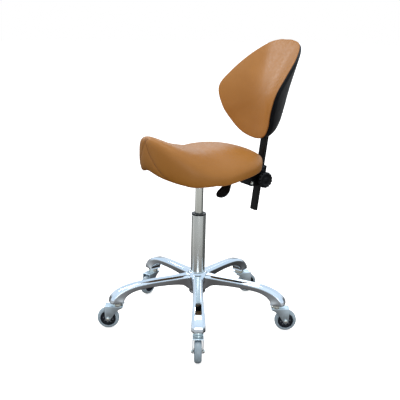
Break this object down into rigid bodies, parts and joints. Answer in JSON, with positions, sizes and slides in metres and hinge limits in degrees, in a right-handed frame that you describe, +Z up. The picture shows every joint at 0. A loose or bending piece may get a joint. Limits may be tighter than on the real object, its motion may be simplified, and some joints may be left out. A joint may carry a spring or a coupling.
{
  "type": "saddle stool with backrest",
  "caption": "Height-adjustable saddle stool with a tan leather seat and curved backrest on a polished star base with casters.",
  "frame": {"origin": "on the floor, under the centre of the whole stool's bounding box", "axes": "+Z up; the sitter faces -Y, so the backrest is at +Y and +X is on the sitter's left"},
  "size_m": [0.6228, 0.6965, 0.9717],
  "materials": {
    "leather": "soft satin tan leather over foam",
    "plywood": "bare plywood",
    "shell": "satin black moulding",
    "hard_plastic": "satin black",
    "black_steel": "black powder coat",
    "polished_aluminium": "polished",
    "chrome": "chromed",
    "brushed_steel": "satin",
    "tread": "grey polyurethane"
  },
  "bodies": {
    "base": {"base_star": "polished_aluminium", "outer_tube": "chrome", "guide_bushing": "hard_plastic", "thrust_bearing": "brushed_steel", "caster_1_stem": "brushed_steel", "caster_2_stem": "brushed_steel", "caster_3_stem": "brushed_steel", "caster_4_stem": "brushed_steel", "caster_5_stem": "brushed_steel"},
    "rod": {"piston_rod": "chrome", "rod_clip": "brushed_steel"},
    "seat": {"gas_cylinder": "brushed_steel", "taper_socket": "black_steel", "mechanism_housing": "black_steel", "seat_plate": "black_steel", "lever_pin": "brushed_steel", "seat_pan": "plywood", "seat_cushion": "leather", "seat_bolt_1": "brushed_steel", "seat_bolt_2": "brushed_steel", "seat_bolt_3": "brushed_steel", "seat_bolt_4": "brushed_steel", "backrest_bar": "black_steel", "bar_bolt_1": "brushed_steel", "bar_bolt_2": "brushed_steel", "pivot_bolt": "brushed_steel", "spacer_bolt": "brushed_steel"},
    "button": {"release_button": "hard_plastic"},
    "lever": {"lever_rod": "black_steel", "lever_paddle": "hard_plastic"},
    "hinge": {"hinge_block": "black_steel"},
    "tilt_knob": {"tilt_knob": "hard_plastic"},
    "height_knob": {"height_knob": "hard_plastic"},
    "backrest": {"back_tube": "black_steel", "tube_cap": "hard_plastic", "back_bracket": "black_steel", "back_board": "plywood", "back_shell": "shell", "back_cushion": "leather"},
    "caster_1_swivel": {"caster_1_fork": "chrome", "caster_1_axle": "brushed_steel"},
    "caster_1_wheel": {"caster_1_hub": "hard_plastic", "caster_1_tyre": "tread"},
    "caster_2_swivel": {"caster_2_fork": "chrome", "caster_2_axle": "brushed_steel"},
    "caster_2_wheel": {"caster_2_hub": "hard_plastic", "caster_2_tyre": "tread"},
    "caster_3_swivel": {"caster_3_fork": "chrome", "caster_3_axle": "brushed_steel"},
    "caster_3_wheel": {"caster_3_hub": "hard_plastic", "caster_3_tyre": "tread"},
    "caster_4_swivel": {"caster_4_fork": "chrome", "caster_4_axle": "brushed_steel"},
    "caster_4_wheel": {"caster_4_hub": "hard_plastic", "caster_4_tyre": "tread"},
    "caster_5_swivel": {"caster_5_fork": "chrome", "caster_5_axle": "brushed_steel"},
    "caster_5_wheel": {"caster_5_hub": "hard_plastic", "caster_5_tyre": "tread"}
  },
  "joints": [
    {"name": "seat_swivel", "type": "hinge", "parent": "base", "child": "rod", "pos_m": [0.0059, -0.0064, 0.32], "axis": [0, 0, 1], "continuous": true},
    {"name": "seat_lift", "type": "slide", "parent": "rod", "child": "seat", "axis": [0, 0, 1], "range_m": [-0.09, 0.05]},
    {"name": "release_lever", "type": "hinge", "parent": "seat", "child": "lever", "pos_m": [0.0279, -0.0064, 0.531], "axis": [0, -1, 0], "range_deg": [0, 10], "stiffness_Nm_per_rad": 3, "springref_deg": -11.46},
    {"name": "release_press", "type": "slide", "parent": "seat", "child": "button", "axis": [0, 0, -1], "range_m": [0, 0.0045]},
    {"name": "back_tilt", "type": "hinge", "parent": "seat", "child": "hinge", "pos_m": [0.0059, 0.1945, 0.4784], "axis": [-1, 0, 0], "range_deg": [-5, 12]},
    {"name": "back_height", "type": "slide", "parent": "hinge", "child": "backrest", "axis": [0, 0.1305, 0.9914], "range_m": [-0.03, 0.06]},
    {"name": "tilt_knob_turn", "type": "hinge", "parent": "hinge", "child": "tilt_knob", "pos_m": [0.0059, 0.2336, 0.5215], "axis": [1, 0, 0], "range_deg": [-180, 180]},
    {"name": "height_knob_turn", "type": "hinge", "parent": "hinge", "child": "height_knob", "pos_m": [0.0059, 0.2376, 0.4895], "axis": [1, 0, 0], "range_deg": [-180, 180]},
    {"name": "caster_1_turn", "type": "hinge", "parent": "base", "child": "caster_1_swivel", "pos_m": [0.24871, -0.15695, 0.09], "axis": [0, 0, 1], "continuous": true},
    {"name": "caster_1_roll", "type": "hinge", "parent": "caster_1_swivel", "child": "caster_1_wheel", "pos_m": [0.27676, -0.17434, 0.03718], "axis": [0.5269, 0.8499, 0], "continuous": true},
    {"name": "caster_2_turn", "type": "hinge", "parent": "base", "child": "caster_2_swivel", "pos_m": [0.22412, 0.17801, 0.09], "axis": [0, 0, 1], "continuous": true},
    {"name": "caster_2_roll", "type": "hinge", "parent": "caster_2_swivel", "child": "caster_2_wheel", "pos_m": [0.242, 0.20575, 0.03718], "axis": [-0.8405, 0.5418, 0], "continuous": true},
    {"name": "caster_3_turn", "type": "hinge", "parent": "base", "child": "caster_3_swivel", "pos_m": [-0.10205, 0.25812, 0.09], "axis": [0, 0, 1], "continuous": true},
    {"name": "caster_3_roll", "type": "hinge", "parent": "caster_3_swivel", "child": "caster_3_wheel", "pos_m": [-0.09474, 0.2903, 0.03718], "axis": [-0.9752, 0.2215, 0], "continuous": true},
    {"name": "caster_4_turn", "type": "hinge", "parent": "base", "child": "caster_4_swivel", "pos_m": [-0.27903, -0.02732, 0.09], "axis": [0, 0, 1], "continuous": true},
    {"name": "caster_4_roll", "type": "hinge", "parent": "caster_4_swivel", "child": "caster_4_wheel", "pos_m": [-0.26603, -0.05765, 0.03718], "axis": [0.9191, 0.394, 0], "continuous": true},
    {"name": "caster_5_turn", "type": "hinge", "parent": "base", "child": "caster_5_swivel", "pos_m": [-0.06225, -0.28385, 0.09], "axis": [0, 0, 1], "continuous": true},
    {"name": "caster_5_roll", "type": "hinge", "parent": "caster_5_swivel", "child": "caster_5_wheel", "pos_m": [-0.08013, -0.31159, 0.03718], "axis": [0.8405, -0.5418, 0], "continuous": true}
  ],
  "couplings": [
    {"joint": "release_press", "follows": "release_lever", "m_per_rad": 0.0245}
  ]
}
